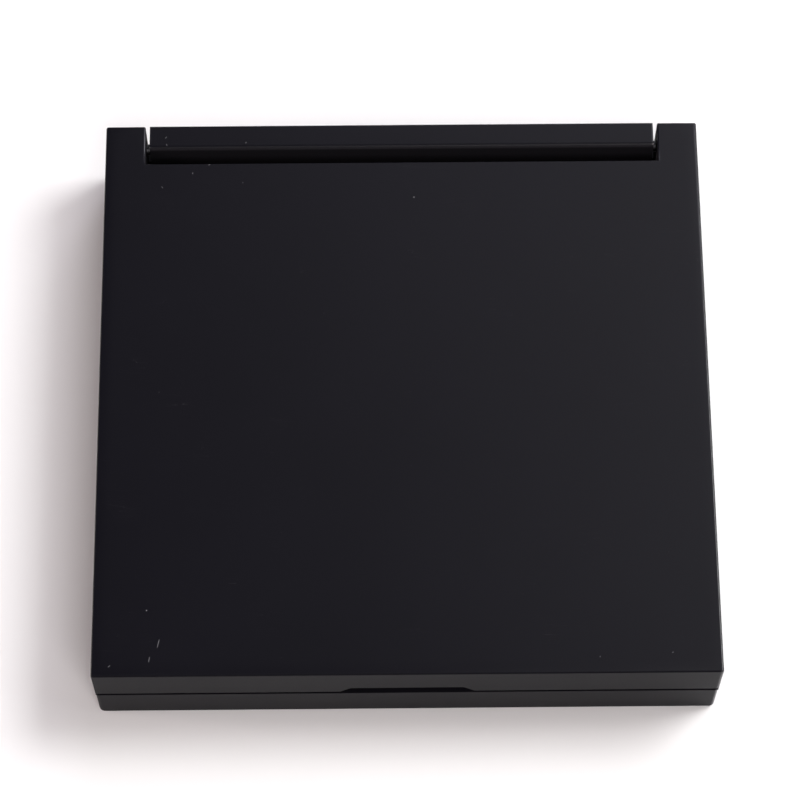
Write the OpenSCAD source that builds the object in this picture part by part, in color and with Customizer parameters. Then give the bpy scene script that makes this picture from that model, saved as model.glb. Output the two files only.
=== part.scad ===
// Square powder compact: a hinged lid with a mirror over a base that holds
// a pan of pressed powder, a clear sheet and a puff. Millimetres.
// +X is to the right, +Y is towards the hinge, +Z is up. The origin is the middle
// of the underside, and the lid is closed.

/* [Case] */
// Width of the closed compact, side to side
case_w = 65; // [63:0.5:70]
// Depth of the closed compact, front to hinge side
case_d = 63.5; // [62.5:0.5:68]
// Height of the closed compact
case_h = 12; // [12:0.1:12.8]
// Height of the base's outer wall
base_h = 5.85; // [5.7:0.05:5.95]
// Gap that shows between the lid and the base
seam_gap = 0.5; // [0.4:0.05:0.55]
// Thickness of the side walls of both shells
wall = 1.3; // [1.1:0.1:1.4]
// Thickness of the base's floor and of the lid's top
skin = 1.2; // [1.1:0.05:1.25]
// Radius of the lid's outer edges
lid_edge_r = 0.4; // [0.3:0.1:0.8]
// Radius of the base's outer edges
base_edge_r = 0.5; // [0.4:0.1:1.0]

/* [Hinge] */
// Length of the knuckle block that rises from the base
knuckle_w = 55.4; // [40:0.2:56]
// Depth of the knuckle block, front to back
knuckle_d = 2.9; // [2.8:0.05:3.0]
// Gap between each end of the knuckle and the lid's ear
ear_gap = 0.45; // [0.4:0.05:0.8]
// How far the lid's notch reaches in from the hinge side
notch_d = 4.7; // [4.6:0.05:4.8]
// Distance of the hinge axis from the hinge side of the case
axis_back = 1.75; // [1.7:0.01:1.8]
// Distance of the hinge axis below the lid's top
axis_down = 2.3; // [2.25:0.01:2.32]
// Radius of the steel hinge pins
pin_r = 0.6; // [0.5:0.05:0.7]
// Length of each hinge pin
pin_len = 8.7; // [7:0.1:9]
// Running clearance round a pin in the lid's ear
pin_clearance = 0.05; // [0.02:0.01:0.08]

/* [Opening] */
// Width of the finger notch at the lid's lower edge
finger_w = 13.9; // [10:0.1:20]
// Height of the finger notch
finger_h = 1.16; // [0.8:0.02:1.2]
// Run of the finger notch's sloped ends
finger_slope = 1.1; // [0.5:0.1:2]
// Width of the catch that keeps the lid shut
catch_w = 9; // [6:0.5:12]

/* [Powder and puff] */
// Width of the powder pan
pan_w = 55; // [46:0.5:55]
// Depth of the powder pan, front to back
pan_d = 50; // [44:0.5:50]
// Height of the powder pan
pan_h = 3.6; // [3:0.05:3.6]
// Thickness of the pan's sheet metal
pan_t = 0.3; // [0.2:0.05:0.5]
// Thickness of the puff
puff_t = 3.5; // [2.5:0.1:3.5]
// Width of the ribbon across the puff
ribbon_w = 15; // [10:1:20]

/* [Mirror] */
// Width of the mirror glass
mirror_w = 56; // [44:0.5:56]
// Depth of the mirror glass
mirror_d = 50; // [40:0.5:50]
// Thickness of the mirror glass
mirror_t = 1.1; // [1:0.05:1.15]

/* [Hidden] */
$fn = 48;

// shells
half_w = case_w / 2;
half_d = case_d / 2;
seam_z = base_h + seam_gap;
cavity_w = case_w - 2 * wall;
cavity_front_y = -half_d + wall;
cavity_r = 0.8;
lid_ceiling_z = case_h - skin;
through = 1;                                        // how far a cutter passes a face

// hinge
axis_y = half_d - axis_back;
axis_z = case_h - axis_down;
knuckle_front_r = 0.3;
knuckle_rear_r = 0.25;
notch_w = knuckle_w + 2 * ear_gap;
notch_front_y = half_d - notch_d;
hinge_wall = 1.2;                                   // the lid's wall in front of the notch
lid_cavity_rear_y = notch_front_y - hinge_wall;
heel_r = 1;                                         // lower rear edge of the lid's ears
pin_recess = 0.3;                                   // pin's outer end below the ear's face
stop_rib = [knuckle_w - 5, 0.35, 0.75];             // it meets the knuckle when the lid is open
stop_rib_z = axis_z - 1.3;

// base insert: a raised rim that the lid closes over, with the well for the pan in it
insert_gap = 0.25;
rim_w = cavity_w - 2 * insert_gap;
rim_front_y = cavity_front_y + insert_gap;
rim_rear_y = lid_cavity_rear_y - 1.2;
rim_d = rim_rear_y - rim_front_y;
rim_mid_y = (rim_front_y + rim_rear_y) / 2;
rim_z = base_h + 1.55;
rim_r = 1;
deck_t = 1.2;
rib_t = 0.8;
pan_gap = 0.2;
well_w = pan_w + 2 * pan_gap;
well_d = pan_d + 2 * pan_gap;
pan_r = 3;

// catch: a bead on the insert's tongue passes a rib on the lid's front wall
tongue_t = 0.9;
tongue_front_y = rim_front_y + 0.45;
tongue_z = rim_z + 1.3;
bead_r = 0.3;
catch_rib_t = 0.3;

// what lies in the well, from the floor up
tape_t = 0.15;
pan_z = skin + tape_t;
powder_t = pan_h - 2 * pan_t - 0.1;
film_t = 0.15;
film_z = pan_z + pan_h;
puff_z = film_z + film_t + 0.05;
puff_w = well_w - 5.4;
puff_d = well_d - 5.4;
puff_r = 8;
cloth_t = 0.5;
ribbon_t = 0.2;

// mirror and its frame, from the lid's ceiling down
foam_tape_t = 0.3;
mirror_z = lid_ceiling_z - foam_tape_t - mirror_t;
frame_z = mirror_z - 0.4;
frame_rear_y = lid_cavity_rear_y - insert_gap;
frame_d = frame_rear_y - rim_front_y;
frame_mid_y = (frame_rear_y + rim_front_y) / 2;
mirror_gap = 0.2;
mirror_lip = 1;                                     // how far the frame covers the glass
mirror_r = 2;

// A rectangle with rounded corners
module round_rect(w, d, r) {
    square([w - 2 * r, d], center = true);
    square([w, d - 2 * r], center = true);
    for (x = [-1, 1], y = [-1, 1])
        translate([x * (w / 2 - r), y * (d / 2 - r)]) circle(r);
}

// A flat plate with rounded corners that stands on height z, its middle at depth y
module plate(w, d, h, r, z = 0, y = 0) {
    translate([0, y, z]) linear_extrude(h) round_rect(w, d, r);
}

// A shape drawn as (depth, height), drawn out along X and centred on it
module along_x(length) {
    rotate([90, 0, 90]) translate([0, 0, -length / 2]) linear_extrude(length) children();
}

// The strip between a block's straight core and its side, rounded below
module edge_strip(h, r) {
    translate([0, r]) square([r, h - r]);
    intersection() {
        translate([0, r]) circle(r);
        square(r);
    }
}

// A block with upright and lower edges rounded and a flat top
module soft_block(w, d, h, r) {
    core_w = w - 2 * r;
    core_d = d - 2 * r;
    translate([-core_w / 2, -core_d / 2, 0]) cube([core_w, core_d, h]);
    for (side = [0, 180]) {
        rotate(side) translate([core_w / 2, 0, 0])
            rotate([90, 0, 0]) linear_extrude(core_d, center = true) edge_strip(h, r);
        rotate(side + 90) translate([core_d / 2, 0, 0])
            rotate([90, 0, 0]) linear_extrude(core_w, center = true) edge_strip(h, r);
    }
    for (x = [0, 1], y = [0, 1])
        mirror([x, 0, 0]) mirror([0, y, 0])
            translate([core_w / 2, core_d / 2, 0]) rotate_extrude(angle = 90) edge_strip(h, r);
}

// A hinge pin or its bore: side is -1 at the left and 1 at the right
module on_axis(side, from_x, length, r) {
    translate([side * from_x, axis_y, axis_z]) rotate([0, side * 90, 0]) cylinder(h = length, r = r);
}

// The knuckle's section, with its front at depth 0 and its foot at height 0
module knuckle_section(h) {
    square([knuckle_d, h - knuckle_front_r]);
    translate([knuckle_front_r, 0])
        square([knuckle_d - knuckle_front_r - knuckle_rear_r, h]);
    translate([knuckle_d / 2, 0]) square([knuckle_d / 2, h - knuckle_rear_r]);
    translate([knuckle_front_r, h - knuckle_front_r]) circle(knuckle_front_r);
    translate([knuckle_d - knuckle_rear_r, h - knuckle_rear_r]) circle(knuckle_rear_r);
}

module base_shell() {
    label_recess = [46, 42, 0.3];
    push_hole_r = 1.9;
    color("#1a1a1e") difference() {
        union() {
            difference() {
                soft_block(case_w, case_d, base_h, base_edge_r);
                plate(cavity_w, case_d - 2 * wall, base_h, cavity_r, z = skin);
            }
            translate([0, half_d - knuckle_d, skin])
                along_x(knuckle_w) knuckle_section(case_h - skin);
        }
        for (side = [-1, 1])
            on_axis(side, knuckle_w / 2 - 4.5, 4.5 + through, pin_r);
        plate(label_recess.x, label_recess.y, label_recess.z, 2);
        translate([0, rim_mid_y, -through]) cylinder(h = skin + 2 * through, r = push_hole_r);
    }
}

module base_insert() {
    shelf_rear_y = half_d - wall - 0.2;
    shelf_d = shelf_rear_y - rim_rear_y;
    knuckle_space = [knuckle_w + 0.4, knuckle_d + 0.2, base_h];
    slot_w = (rim_w - well_w) / 2 - 2 * rib_t;
    color("#202023") difference() {
        union() {
            plate(rim_w, rim_d, rim_z - skin, rim_r, z = skin, y = rim_mid_y);
            plate(rim_w, shelf_d + 2 * rim_r, base_h - skin, rim_r,
                  z = skin, y = shelf_rear_y - shelf_d / 2 - rim_r);
            catch_tongue();
        }
        plate(well_w, well_d, case_h, pan_r + pan_gap, y = rim_mid_y);
        for (side = [-1, 1])
            translate([side * (well_w + slot_w + 2 * rib_t) / 2 - slot_w / 2, -well_d / 2 + rim_mid_y, 0])
                cube([slot_w, well_d, rim_z - deck_t]);
        translate([-rim_w / 2 + rib_t, rim_rear_y, 0])
            cube([rim_w - 2 * rib_t, shelf_d - rib_t, base_h - deck_t]);
        translate([-knuckle_space.x / 2, half_d - knuckle_space.y, 0]) cube(knuckle_space + [0, 1, 1]);
    }
}

module catch_tongue() {
    translate([-catch_w / 2, tongue_front_y, skin]) cube([catch_w, tongue_t, tongue_z - skin]);
    translate([0, tongue_front_y, tongue_z - bead_r]) along_x(catch_w) circle(bead_r);
}

module pan_tape() {
    color("#d8d2c4") difference() {
        plate(44, 40, tape_t, 2, z = skin, y = rim_mid_y);
        translate([0, rim_mid_y, 0]) cylinder(h = case_h, r = 3);
    }
}

module powder_pan() {
    color("#b9bcc0") difference() {
        plate(pan_w, pan_d, pan_h, pan_r, z = pan_z, y = rim_mid_y);
        plate(pan_w - 2 * pan_t, pan_d - 2 * pan_t, pan_h, pan_r - pan_t, z = pan_z + pan_t, y = rim_mid_y);
    }
}

module powder_cake() {
    color("#e3bd9d")
        plate(pan_w - 2 * pan_t, pan_d - 2 * pan_t, powder_t, pan_r - pan_t, z = pan_z + pan_t, y = rim_mid_y);
}

module cover_film() {
    color("#dfe8ec", 0.4)
        plate(pan_w - 0.2, pan_d - 0.2, film_t, pan_r, z = film_z, y = rim_mid_y);
}

module puff_cover() {
    color("#e9d9c9") difference() {
        plate(puff_w, puff_d, puff_t, puff_r, z = puff_z, y = rim_mid_y);
        puff_filling();
    }
}

module puff_foam() {
    color("#f3efe6") puff_filling();
}

module puff_filling() {
    plate(puff_w - 2 * cloth_t, puff_d - 2 * cloth_t, puff_t - 2 * cloth_t, puff_r - cloth_t,
          z = puff_z + cloth_t, y = rim_mid_y);
}

module puff_ribbon() {
    color("#d9a7a0")
        plate(puff_w, ribbon_w, ribbon_t, 0.1, z = puff_z + puff_t, y = rim_mid_y);
}

module hinge_pin(side) {
    color("#c9ccd1") on_axis(side, half_w - pin_recess - pin_len, pin_len, pin_r);
}

module lid_shell() {
    color("#1a1a1e") difference() {
        union() {
            difference() {
                translate([0, 0, case_h]) mirror([0, 0, 1])
                    soft_block(case_w, case_d, case_h - seam_z, lid_edge_r);
                lid_cavity();
                translate([-notch_w / 2, notch_front_y, 0]) cube([notch_w, notch_d + through, case_h + through]);
            }
            translate([-stop_rib.x / 2, notch_front_y, stop_rib_z]) cube(stop_rib);
            translate([-catch_w / 2, cavity_front_y, tongue_z - 4 * bead_r])
                cube([catch_w, catch_rib_t, bead_r]);
        }
        for (side = [-1, 1])
            on_axis(side, notch_w / 2 - through, case_w, pin_r + pin_clearance);
        finger_notch();
        translate([0, half_d - heel_r, seam_z + heel_r]) along_x(case_w + 2 * through) heel_cut();
    }
}

// The space inside the lid, from its front wall to the wall before the notch
module lid_cavity() {
    cavity_d = lid_cavity_rear_y - cavity_front_y;
    plate(cavity_w, cavity_d, lid_ceiling_z - seam_z + through, cavity_r,
          z = seam_z - through, y = cavity_front_y + cavity_d / 2);
}

// What is taken off to round an edge that faces down and back
module heel_cut() {
    difference() {
        translate([0, -heel_r - through]) square(heel_r + through);
        circle(heel_r);
    }
}

module finger_notch() {
    low = finger_w / 2;
    high = low - finger_slope;
    translate([0, cavity_front_y + catch_rib_t, seam_z]) rotate([90, 0, 0]) linear_extrude(wall + through)
        polygon([[-low, 0], [low, 0], [high, finger_h], [-high, finger_h]]);
}

module mirror_frame() {
    color("#202023") difference() {
        plate(rim_w, frame_d, lid_ceiling_z - frame_z, rim_r, z = frame_z, y = frame_mid_y);
        plate(mirror_w - 2 * mirror_lip, mirror_d - 2 * mirror_lip, case_h, mirror_r, y = frame_mid_y);
        plate(mirror_w + 2 * mirror_gap, mirror_d + 2 * mirror_gap, case_h, mirror_r + mirror_gap,
              z = mirror_z, y = frame_mid_y);
    }
}

module mirror_glass() {
    color("#cfd8dd") plate(mirror_w, mirror_d, mirror_t, mirror_r, z = mirror_z, y = frame_mid_y);
}

module mirror_tape() {
    color("#3a3a3c")
        plate(mirror_w - 6, mirror_d - 6, foam_tape_t, 1, z = lid_ceiling_z - foam_tape_t, y = frame_mid_y);
}

base_shell();
base_insert();
pan_tape();
powder_pan();
powder_cake();
cover_film();
puff_cover();
puff_foam();
puff_ribbon();
hinge_pin(-1);  // hinge_pin_left
hinge_pin(1);  // hinge_pin_right
lid_shell();
mirror_frame();
mirror_glass();
mirror_tape();
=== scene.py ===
"""Looks of the square powder compact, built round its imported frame."""

import math

import bmesh
import bpy
from bpy.props import FloatProperty, FloatVectorProperty, PointerProperty
from bpy.types import Operator, Panel, PropertyGroup
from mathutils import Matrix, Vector
from mathutils.bvhtree import BVHTree


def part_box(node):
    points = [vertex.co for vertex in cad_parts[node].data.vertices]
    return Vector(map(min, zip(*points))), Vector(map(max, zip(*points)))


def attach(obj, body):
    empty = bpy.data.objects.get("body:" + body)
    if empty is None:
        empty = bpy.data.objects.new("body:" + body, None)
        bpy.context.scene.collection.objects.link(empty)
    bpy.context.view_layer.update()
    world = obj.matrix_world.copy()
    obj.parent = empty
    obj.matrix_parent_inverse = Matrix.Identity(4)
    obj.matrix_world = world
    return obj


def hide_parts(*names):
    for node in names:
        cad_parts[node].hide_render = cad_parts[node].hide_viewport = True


bl_info = {
    "name": "Powder Compact",
    "version": (1, 0, 0),
    "blender": (4, 5, 0),
    "location": "View3D > Sidebar > Compact",
    "description": "Builds a hinged powder compact with a mirror, a pan of powder and a puff",
    "category": "Add Mesh",
}

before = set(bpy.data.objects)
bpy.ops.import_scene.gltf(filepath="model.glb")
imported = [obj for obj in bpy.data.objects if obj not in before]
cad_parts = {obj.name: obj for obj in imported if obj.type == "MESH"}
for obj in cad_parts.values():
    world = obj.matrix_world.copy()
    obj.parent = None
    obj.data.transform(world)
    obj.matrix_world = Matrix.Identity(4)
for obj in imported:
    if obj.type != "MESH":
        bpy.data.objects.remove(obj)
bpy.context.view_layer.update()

MM = 0.001
NEAR = 3e-6          # how close two places count as the same
THROUGH = 1.0 * MM   # how far a cutter passes a face

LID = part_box("lid_shell")
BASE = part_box("base_shell")
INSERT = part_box("base_insert")
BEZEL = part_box("mirror_frame")
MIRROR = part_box("mirror_glass")
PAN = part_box("powder_pan")
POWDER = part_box("powder_cake")
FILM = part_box("cover_film")
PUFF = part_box("puff_cover")
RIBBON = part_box("puff_ribbon")
PINS = {"left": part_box("hinge_pin_left"), "right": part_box("hinge_pin_right")}
MID_Y = (PAN[0].y + PAN[1].y) / 2
AXIS_Y = LID[1].y - 1.75 * MM   # the hinge's axis
AXIS_Z = LID[1].z - 2.3 * MM
CATCH_X = 4.5 * MM              # half of the catch's width

CLOTH_SCALE = 10     # the puff is blown up as cloth at this many times its size
CLOTH_FRAMES = 14
CLOTH_SETTINGS = {"quality": 6, "mass": 0.25, "tension_stiffness": 18.0,
                  "compression_stiffness": 18.0, "shear_stiffness": 6.0,
                  "bending_stiffness": 1.5, "use_pressure": True,
                  "uniform_pressure_force": 1.3}


# ---------------------------------------------------------------- settings


def length(name, description, default):
    """A size that a maker may change, given in millimetres."""
    return FloatProperty(name=name, description=description, default=default * MM,
                         min=0.0, precision=5, unit="LENGTH")


def colour(name, description, default):
    """A colour that a maker may change."""
    return FloatVectorProperty(name=name, description=description, default=default,
                               size=3, min=0.0, max=1.0, subtype="COLOR")


class CompactCaseSizes(PropertyGroup):
    """Sizes of the case."""

    base_height: length("Base height", "Height of the base's outer wall", 5.85)
    wall: length("Wall", "Thickness of the side walls", 1.3)
    skin: length("Skin", "Thickness of the base's floor and the lid's top", 1.2)
    lid_edge: length("Lid edge", "Radius of the lid's top edges", 0.32)
    lid_corner: length("Lid corner", "Radius of the lid's upright corners", 0.25)
    base_edge: length("Base edge", "Radius of the base's outer edges", 0.5)
    front_edge: length("Front edge", "Radius of the lid's front top edge", 0.14)
    fine_edge: length("Fine edge", "Radius of the small edges", 0.08)
    seam_edge: length("Seam edge", "Radius of the edges that meet at the seam", 0.05)
    crown_width: length("Crown width", "Width of the strip where the lid's top falls away", 1.4)
    crown_drop: length("Crown drop", "How far the lid's top falls at its edge", 0.05)
    knuckle_width: length("Knuckle width", "Length of the hinge's knuckle block", 55.4)
    knuckle_depth: length("Knuckle depth", "Depth of the knuckle block", 2.9)
    ear_gap: length("Ear gap", "Gap between the knuckle and each of the lid's ears", 0.45)
    notch_depth: length("Notch depth", "How far the lid's notch reaches in", 4.7)
    finger_width: length("Finger notch width", "Width of the finger notch", 13.9)
    finger_height: length("Finger notch height", "Height of the finger notch", 1.16)
    finger_slope: length("Finger notch slope", "Run of the finger notch's sloped ends", 1.1)


class CompactColours(PropertyGroup):
    """Colours of the finishes."""

    case: colour("Case", "Satin black plastic", (0.0014, 0.0012, 0.0033))
    inside: colour("Inside", "Matt plastic inside", (0.0075, 0.0075, 0.0088))
    powder: colour("Powder", "Pressed powder", (0.56, 0.35, 0.23))
    puff: colour("Puff", "Velour of the puff", (0.56, 0.41, 0.31))
    ribbon: colour("Ribbon", "Satin ribbon", (0.44, 0.16, 0.15))


class CompactStage(PropertyGroup):
    """Camera and light."""

    focal_length: FloatProperty(name="Focal length", description="Focal length of the lens",
                                default=143.17, min=10.0, unit="CAMERA")
    horizon: FloatProperty(name="Horizon", description="Brightness of the studio's pale walls",
                           default=0.95, min=0.0)
    ceiling: FloatProperty(name="Ceiling", description="Brightness of the studio overhead",
                           default=0.03, min=0.0)
    table: colour("Table", "Pale table top", (0.82, 0.82, 0.82))


# ---------------------------------------------------------------- modelling


def at(value, place):
    """Whether a coordinate is at a place."""
    return abs(value - place) < NEAR


def middle(part):
    """The middle of an edge or a face."""
    return sum((vert.co for vert in part.verts), Vector()) / len(part.verts)


def all_at(part, axis, place):
    """Whether all of an edge or face lies at one place along an axis."""
    return all(at(vert.co[axis], place) for vert in part.verts)


def at_sides(part, x):
    """Whether an edge or face lies at one place to the right or as far to the left."""
    return all_at(part, 0, x) or all_at(part, 0, -x)


def within(part, half_x, half_y, mid_y):
    """Whether the middle of an edge lies in a rectangle, seen from above."""
    place = middle(part)
    return abs(place.x) < half_x and abs(place.y - mid_y) < half_y


def is_corner(e, low, high):
    """Whether an edge is an upright corner of a block."""
    return at_sides(e, high.x) and (all_at(e, 1, low.y) or all_at(e, 1, high.y))


def select_all():
    """Selects all of the piece in edit mode."""
    bpy.ops.mesh.select_all(action="SELECT")


def clear_selection():
    """Leaves edit mode and deselects everything."""
    if bpy.context.object and bpy.context.object.mode != "OBJECT":
        bpy.ops.object.mode_set(mode="OBJECT")
    bpy.ops.object.select_all(action="DESELECT")


def select_only(piece):
    """Makes one piece the only selected and the active one."""
    clear_selection()
    piece.select_set(True)
    bpy.context.view_layer.objects.active = piece


def edit(piece):
    """Opens a piece in edit mode with nothing selected."""
    select_only(piece)
    bpy.ops.object.mode_set(mode="EDIT")
    bpy.ops.mesh.select_all(action="DESELECT")


def close_edit():
    """Goes back to object mode."""
    bpy.ops.object.mode_set(mode="OBJECT")


def keep_primitive(name):
    """Names the primitive that was just added and puts its place into its mesh."""
    piece = bpy.context.object
    piece.name = name
    piece.data.name = name
    bpy.ops.object.transform_apply(location=True, rotation=True, scale=True)
    return piece


def block(name, low, high):
    """A plain block between two corners, as a start."""
    clear_selection()
    low, high = Vector(low), Vector(high)
    bpy.ops.mesh.primitive_cube_add(size=1, location=(low + high) / 2, scale=high - low)
    return keep_primitive(name)


def rod(name, start, radius, run, sides=48):
    """A plain round bar along X, as a start."""
    clear_selection()
    place = Vector(start) + Vector((run / 2, 0, 0))
    bpy.ops.mesh.primitive_cylinder_add(vertices=sides, radius=radius, depth=abs(run),
                                        location=place, rotation=(0, math.pi / 2, 0))
    return keep_primitive(name)


def pick(kind, test):
    """Selects in edit mode only the faces, edges or points that pass the test."""
    bpy.ops.mesh.select_mode(type=kind)
    bpy.ops.mesh.select_all(action="DESELECT")
    mesh = bpy.context.object.data
    cage = bmesh.from_edit_mesh(mesh)
    cage.normal_update()
    parts = {"VERT": cage.verts, "EDGE": cage.edges, "FACE": cage.faces}[kind]
    found = [part for part in parts if test(part)]
    for part in found:
        part.select_set(True)
    cage.select_flush_mode()
    bmesh.update_edit_mesh(mesh)
    if not found:
        raise RuntimeError(f"nothing to select on {mesh.name}")


def move(x=0.0, y=0.0, z=0.0):
    """Moves what is selected."""
    bpy.ops.transform.translate(value=(x, y, z))


def extrude(x=0.0, y=0.0, z=0.0):
    """Extrudes what is selected."""
    bpy.ops.mesh.extrude_region_move(TRANSFORM_OT_translate={"value": (x, y, z)})


def cut_at(axis, place):
    """Cuts the whole piece with a plane across an axis."""
    select_all()
    point, normal = Vector(), Vector()
    point[axis] = place
    normal[axis] = 1.0
    bpy.ops.mesh.bisect(plane_co=point, plane_no=normal, threshold=1e-7)


def bevel(test, radius, segments):
    """Rounds in edit mode the edges that pass the test."""
    pick("EDGE", test)
    bpy.ops.mesh.bevel(offset=radius, segments=segments, affect="EDGES")


def plate(name, low, high, corner, segments=8):
    """A block with rounded uprights."""
    piece = block(name, low, high)
    edit(piece)
    bevel(lambda e: abs(e.verts[0].co.z - e.verts[1].co.z) > NEAR, corner, segments)
    close_edit()
    return piece


def use_modifier(piece, kind, **settings):
    """Adds a modifier to a piece, sets it and applies it."""
    select_only(piece)
    bpy.ops.object.modifier_add(type=kind)
    modifier = piece.modifiers[-1]
    for key, value in settings.items():
        setattr(modifier, key, value)
    bpy.ops.object.modifier_apply(modifier=modifier.name)


def combine(piece, other, operation):
    """Joins another solid to a piece, or cuts it out of the piece, and removes the other."""
    use_modifier(piece, "BOOLEAN", operation=operation, solver="EXACT", object=other)
    select_only(other)
    bpy.ops.object.delete()
    tidy_faces(piece)


def carve(piece, cutter):
    """Cuts a cutter out of a piece."""
    combine(piece, cutter, "DIFFERENCE")


def weld(piece, addition):
    """Joins a solid to a piece."""
    combine(piece, addition, "UNION")


def bore(piece, start, radius, run):
    """Drills a piece along the hinge's axis, outwards at the left and at the right."""
    for side in (-1, 1):
        carve(piece, rod("cutter", (side * start, AXIS_Y, AXIS_Z), radius, side * run, sides=32))


def tidy_faces(piece):
    """Merges doubled points, and the faces that lie in one plane."""
    edit(piece)
    select_all()
    bpy.ops.mesh.remove_doubles(threshold=1e-7)
    bpy.ops.mesh.dissolve_limited(angle_limit=math.radians(0.05))
    close_edit()


def set_radius(test, share):
    """Gives the edges that pass the test their share of the piece's largest edge radius."""
    pick("EDGE", test)
    bpy.ops.transform.edge_bevelweight(value=-1)
    bpy.ops.transform.edge_bevelweight(value=share)


def round_edges(piece, radius, segments):
    """Rounds the edges whose radius was set."""
    use_modifier(piece, "BEVEL", width=radius, segments=segments, limit_method="WEIGHT",
                 offset_type="OFFSET", use_clamp_overlap=True, miter_outer="MITER_ARC")


def smooth(piece, degrees=32):
    """Smooth shading with sharp corners kept and flat faces kept flat."""
    select_only(piece)
    bpy.ops.object.shade_smooth_by_angle(angle=math.radians(degrees))
    use_modifier(piece, "WEIGHTED_NORMAL", keep_sharp=True, weight=100)


def dress(piece, slot):
    """Gives a piece its finish."""
    piece.data.materials.clear()
    piece.data.materials.append(finish_of(slot))


def hand_over(piece, slot, body, node):
    """Gives a piece its finish and its place on the frame."""
    dress(piece, slot)
    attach(piece, body)
    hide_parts(node)


# ---------------------------------------------------------------- finishes


class Wire:
    """An output inside a finish. Sums on it add Math nodes."""

    def __init__(self, finish, socket):
        self.finish = finish
        self.socket = socket

    def __add__(self, other):
        return self.finish.maths("ADD", self, other)

    def __radd__(self, other):
        return self.finish.maths("ADD", other, self)

    def __sub__(self, other):
        return self.finish.maths("SUBTRACT", self, other)

    def __rsub__(self, other):
        return self.finish.maths("SUBTRACT", other, self)

    def __mul__(self, other):
        return self.finish.maths("MULTIPLY", self, other)

    def __rmul__(self, other):
        return self.finish.maths("MULTIPLY", other, self)

    def __abs__(self):
        return self.finish.maths("ABSOLUTE", self)


class Finish:
    """A material, or the room round the table, and the nodes in it."""

    def __init__(self, owner):
        self.owner = owner
        self.owner.use_nodes = True
        self.tree = self.owner.node_tree
        self.tree.nodes.clear()

    def add(self, kind, settings=None, inputs=None, output=0):
        """Adds a node: its type, its settings, then its sockets' values or links."""
        node = self.tree.nodes.new(kind)
        for key, value in (settings or {}).items():
            setattr(node, key, value)
        for key, value in (inputs or {}).items():
            socket = node.inputs[key]
            if isinstance(value, Wire):
                self.tree.links.new(value.socket, socket)
            else:
                socket.default_value = (*value, 1.0) if socket.type == "RGBA" else value
        return Wire(self, node.outputs[output]) if len(node.outputs) else None

    def maths(self, operation, first, second=0.0):
        return self.add("ShaderNodeMath", {"operation": operation}, {0: first, 1: second})

    def largest(self, first, second):
        return self.maths("MAXIMUM", first, second)

    def step(self, wire, low, high, to_low=0.0, to_high=1.0):
        """A soft step between two values."""
        return self.add("ShaderNodeMapRange", {"interpolation_type": "SMOOTHSTEP"},
                        {"Value": wire, "From Min": low, "From Max": high,
                         "To Min": to_low, "To Max": to_high})

    def millimetres(self, stretch=(1.0, 1.0, 1.0), turn=(0.0, 0.0, 0.0), shift=(0.0, 0.0, 0.0)):
        """Object coordinates in millimetres, stretched and turned."""
        place = self.add("ShaderNodeTexCoord", output="Object")
        return self.add("ShaderNodeMapping", None,
                        {"Vector": place, "Location": shift, "Rotation": turn,
                         "Scale": tuple(1000.0 * part for part in stretch)})

    def split(self, vector):
        """The three numbers of a vector."""
        parts = self.add("ShaderNodeSeparateXYZ", None, {0: vector}).socket.node.outputs
        return [Wire(self, part) for part in parts]

    def noise(self, vector, scale, detail=2.0, roughness=0.5, distortion=0.0):
        """A cloudy pattern from 0 to 1."""
        return self.add("ShaderNodeTexNoise", None,
                        {"Vector": vector, "Scale": scale, "Detail": detail,
                         "Roughness": roughness, "Distortion": distortion})

    def spots(self, vector, scale):
        """The distance to the nearest of many scattered points."""
        return self.add("ShaderNodeTexVoronoi", None, {"Vector": vector, "Scale": scale},
                        output="Distance")

    def blend(self, share, first, second):
        """A colour between two colours."""
        return self.add("ShaderNodeMix", {"data_type": "RGBA"},
                        {0: share, 6: first, 7: second}, output=2)

    def bump(self, height, depth, strength=0.5):
        """A surface relief: height from 0 to 1, and its depth in metres."""
        return self.add("ShaderNodeBump", None,
                        {"Height": height, "Distance": depth, "Strength": strength})

    def surface(self, **inputs):
        """Ends the finish with the shader: colour, roughness and the rest."""
        names = {key.replace("_", " "): value for key, value in inputs.items()}
        shader = self.add("ShaderNodeBsdfPrincipled", None, names)
        self.add("ShaderNodeOutputMaterial", None, {"Surface": shader})
        return self.owner


def lighter(tone, factor):
    """A colour made lighter or darker."""
    return tuple(min(1.0, part * factor) for part in tone)


# the slots beside the knuckle and the groove in front of it, as the finish sees them, in mm
SLOT_X, SLOT_HALF = 27.93, 0.22
GROOVE_END = 28.4
GROOVE_FRONT, GROOVE_REAR = 26.9, 29.9
RIM_DEPTH = 0.25   # how far below the lid's top the walls begin

# short hairlines and specks on the lid and knuckle: x, y, turn and length, in mm and radians
MARKS = ((-25.6, -28.2, 0.22, 1.1), (-26.5, -29.9, 0.15, 0.7), (-30.6, -30.6, 0.9, 0.35),
         (-25.9, 30.3, 0.7, 0.3), (-25.8, 29.4, -0.3, 0.3), (-17.1, 29.6, 0.2, 0.22),
         (-22.9, 25.9, 0.1, 0.2), (-21.1, 26.9, 1.4, 0.25), (-26.2, 24.2, -0.6, 0.3),
         (-17.4, 24.7, 0.1, 0.18), (19.8, -30.0, 0.1, 0.2), (27.3, -29.6, 1.2, 0.2))


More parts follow.
